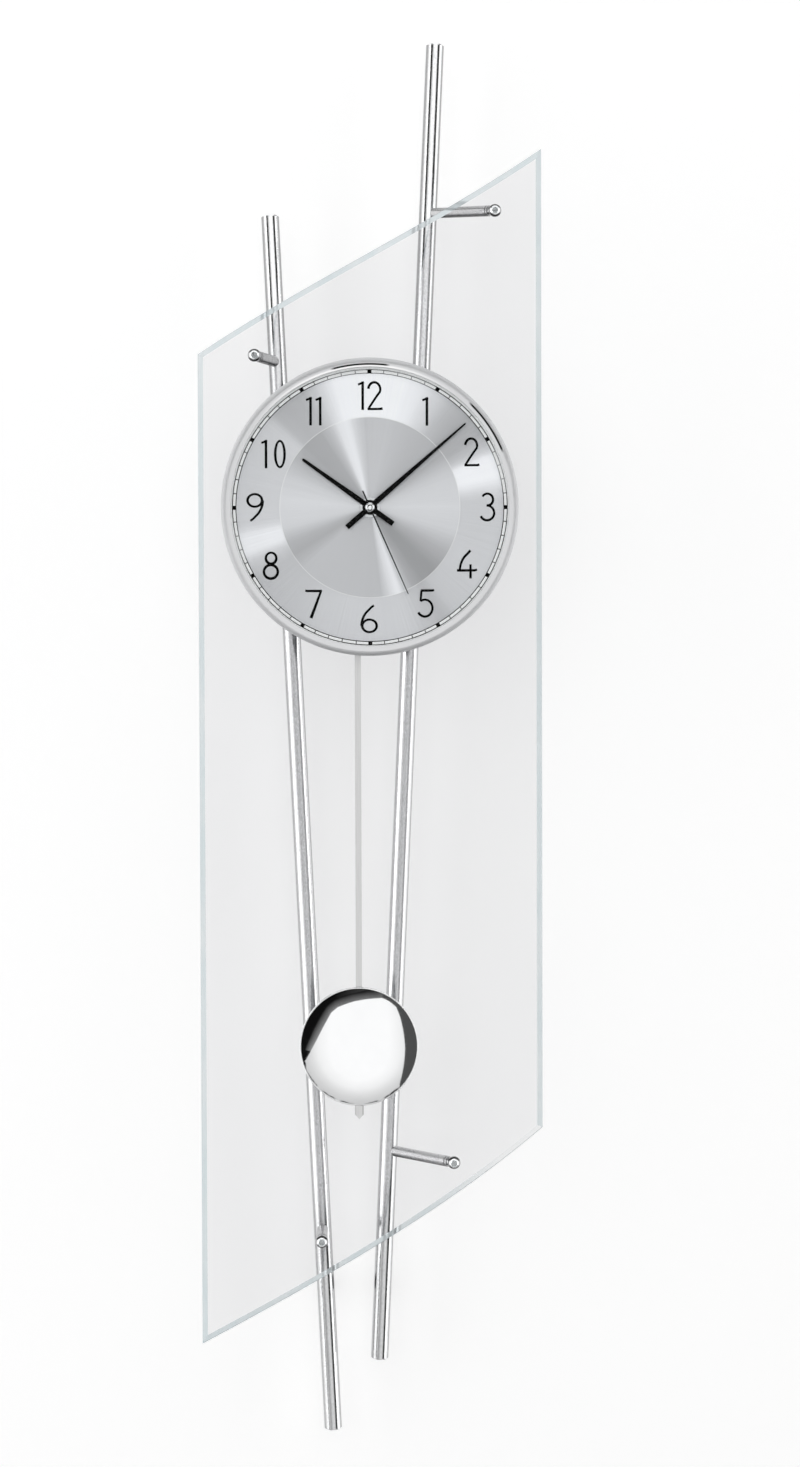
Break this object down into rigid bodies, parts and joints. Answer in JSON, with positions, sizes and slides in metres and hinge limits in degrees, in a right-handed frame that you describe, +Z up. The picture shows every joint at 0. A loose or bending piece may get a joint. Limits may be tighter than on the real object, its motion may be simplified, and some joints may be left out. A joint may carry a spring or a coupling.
{
  "type": "radio controlled pendulum wall clock",
  "caption": "Wall clock with a facet edged glass panel on leaning metal tubes, a round metal case with arabic numerals and a free swinging pendulum with a domed bob",
  "frame": {"origin": "the seat of the hanging slot, on the wall plane, where the wall screw carries the clock", "axes": "X runs to the right seen from the front, Y runs from the clock into the wall and Z runs up"},
  "size_m": [0.189, 0.0873, 0.7804],
  "materials": {
    "glass": "clear, with ground facets",
    "tube_chrome": "polished",
    "arm_steel": "fine turned",
    "steel_screws": "zinc plated",
    "bond": "clear cured bond",
    "bar_paint": "silver lacquer",
    "zinc": "zinc plated sheet",
    "black_rubber": "matt",
    "case_metal": "silver lacquer",
    "spacer_metal": "turned",
    "bezel_chrome": "polished",
    "crystal_glass": "clear mineral glass",
    "ring_white": "smooth",
    "dial_silver": "sun ray brushed",
    "dial_inner": "sun ray brushed",
    "ink": "printed black",
    "nut_metal": "turned",
    "housing_plastic": "moulded",
    "brass_parts": "plain",
    "motor_steel": "stamped sheet",
    "copper_wire": "enamelled wire",
    "magnet_grey": "sintered",
    "gear_plastic": "moulded",
    "board_green": "solder resist",
    "ferrite": "sintered",
    "battery_wrap": "plain sleeve",
    "button_plastic": "moulded",
    "rod_steel": "satin",
    "bob_chrome": "polished",
    "bob_steel": "satin",
    "hand_black": "satin black",
    "cap_chrome": "polished"
  },
  "bodies": {
    "frame": {"glass_panel": "glass", "tube_left": "tube_chrome", "tube_right": "tube_chrome", "tube_end_plugs": "tube_chrome", "arm_top_left": "arm_steel", "arm_low_left": "arm_steel", "arms_right": "arm_steel", "arm_studs": "steel_screws", "bond_pads": "bond", "upper_crossbar": "bar_paint", "lower_crossbar": "bar_paint", "crossbar_screws": "steel_screws", "hanger_plate": "zinc", "hanger_screws": "steel_screws", "wall_buffers": "black_rubber", "case_back": "case_metal", "case_spacers": "spacer_metal", "case_screws": "steel_screws", "bezel": "bezel_chrome", "crystal": "crystal_glass", "spacer_ring": "ring_white", "dial_plate": "dial_silver", "dial_centre": "dial_inner", "dial_print": "ink", "dial_washer": "black_rubber", "dial_nut": "nut_metal", "movement_back": "housing_plastic", "movement_cover": "housing_plastic", "train_bridge": "brass_parts", "seconds_stator": "motor_steel", "minutes_stator": "motor_steel", "seconds_coil": "copper_wire", "minutes_coil": "copper_wire", "circuit_board": "board_green", "ferrite_rod": "ferrite", "antenna_coil": "copper_wire", "battery": "battery_wrap", "battery_contacts": "brass_parts", "drive_housing": "housing_plastic", "drive_coil": "copper_wire", "pivot_pin": "brass_parts"},
    "second_hand_body": {"seconds_wheel": "gear_plastic", "second_hand": "hand_black", "hub_cap": "cap_chrome"},
    "seconds_idler_body": {"seconds_idler": "gear_plastic"},
    "seconds_rotor_body": {"seconds_rotor": "magnet_grey"},
    "minute_hand_body": {"minute_wheel": "gear_plastic", "minute_hand": "hand_black"},
    "minutes_idler_body": {"minutes_idler": "gear_plastic"},
    "minutes_rotor_body": {"minutes_rotor": "magnet_grey"},
    "changing_wheel_body": {"changing_wheel": "gear_plastic"},
    "hour_hand_body": {"hour_wheel": "gear_plastic", "hour_hand": "hand_black"},
    "pendulum_body": {"pendulum_hanger": "gear_plastic", "pendulum_magnet": "magnet_grey", "pendulum_rod": "rod_steel", "bob_front": "bob_chrome", "bob_back": "bob_steel"},
    "set_button_body": {"set_button": "button_plastic"},
    "reset_button_body": {"reset_button": "button_plastic"}
  },
  "joints": [
    {"name": "second_hand_turn", "type": "hinge", "parent": "frame", "child": "second_hand_body", "pos_m": [0, -0.0644, -0.046], "axis": [0, 1, 0], "continuous": true},
    {"name": "seconds_idler_turn", "type": "hinge", "parent": "frame", "child": "seconds_idler_body", "pos_m": [0.0075, -0.0624, -0.046], "axis": [0, 1, 0], "continuous": true},
    {"name": "seconds_rotor_turn", "type": "hinge", "parent": "frame", "child": "seconds_rotor_body", "pos_m": [0.01286, -0.0644, -0.0505], "axis": [0, 1, 0], "continuous": true},
    {"name": "minute_hand_turn", "type": "hinge", "parent": "frame", "child": "minute_hand_body", "pos_m": [0, -0.0664, -0.046], "axis": [0, 1, 0], "continuous": true},
    {"name": "minutes_idler_turn", "type": "hinge", "parent": "frame", "child": "minutes_idler_body", "pos_m": [-0.0075, -0.0624, -0.046], "axis": [0, 1, 0], "continuous": true},
    {"name": "minutes_rotor_turn", "type": "hinge", "parent": "frame", "child": "minutes_rotor_body", "pos_m": [-0.01286, -0.0644, -0.0505], "axis": [0, 1, 0], "continuous": true},
    {"name": "changing_wheel_turn", "type": "hinge", "parent": "frame", "child": "changing_wheel_body", "pos_m": [0, -0.0687, -0.04], "axis": [0, 1, 0], "continuous": true},
    {"name": "hour_hand_turn", "type": "hinge", "parent": "frame", "child": "hour_hand_body", "pos_m": [0, -0.0702, -0.046], "axis": [0, 1, 0], "continuous": true},
    {"name": "pendulum_swing", "type": "hinge", "parent": "frame", "child": "pendulum_body", "pos_m": [-0.007, -0.0623, -0.088], "axis": [0, 1, 0], "range_deg": [-4, 4]},
    {"name": "set_button_press", "type": "slide", "parent": "frame", "child": "set_button_body", "axis": [0, -1, 0], "range_m": [0, 0.0006], "stiffness_N_per_m": 400, "springref_m": -0.0002},
    {"name": "reset_button_press", "type": "slide", "parent": "frame", "child": "reset_button_body", "axis": [0, -1, 0], "range_m": [0, 0.0006], "stiffness_N_per_m": 400, "springref_m": -0.0002}
  ],
  "couplings": [
    {"joint": "seconds_idler_turn", "follows": "second_hand_turn", "ratio": -5},
    {"joint": "seconds_rotor_turn", "follows": "second_hand_turn", "ratio": 30},
    {"joint": "minutes_idler_turn", "follows": "minute_hand_turn", "ratio": -5},
    {"joint": "minutes_rotor_turn", "follows": "minute_hand_turn", "ratio": 30},
    {"joint": "changing_wheel_turn", "follows": "minute_hand_turn", "ratio": -0.33333},
    {"joint": "hour_hand_turn", "follows": "minute_hand_turn", "ratio": 0.083333}
  ]
}
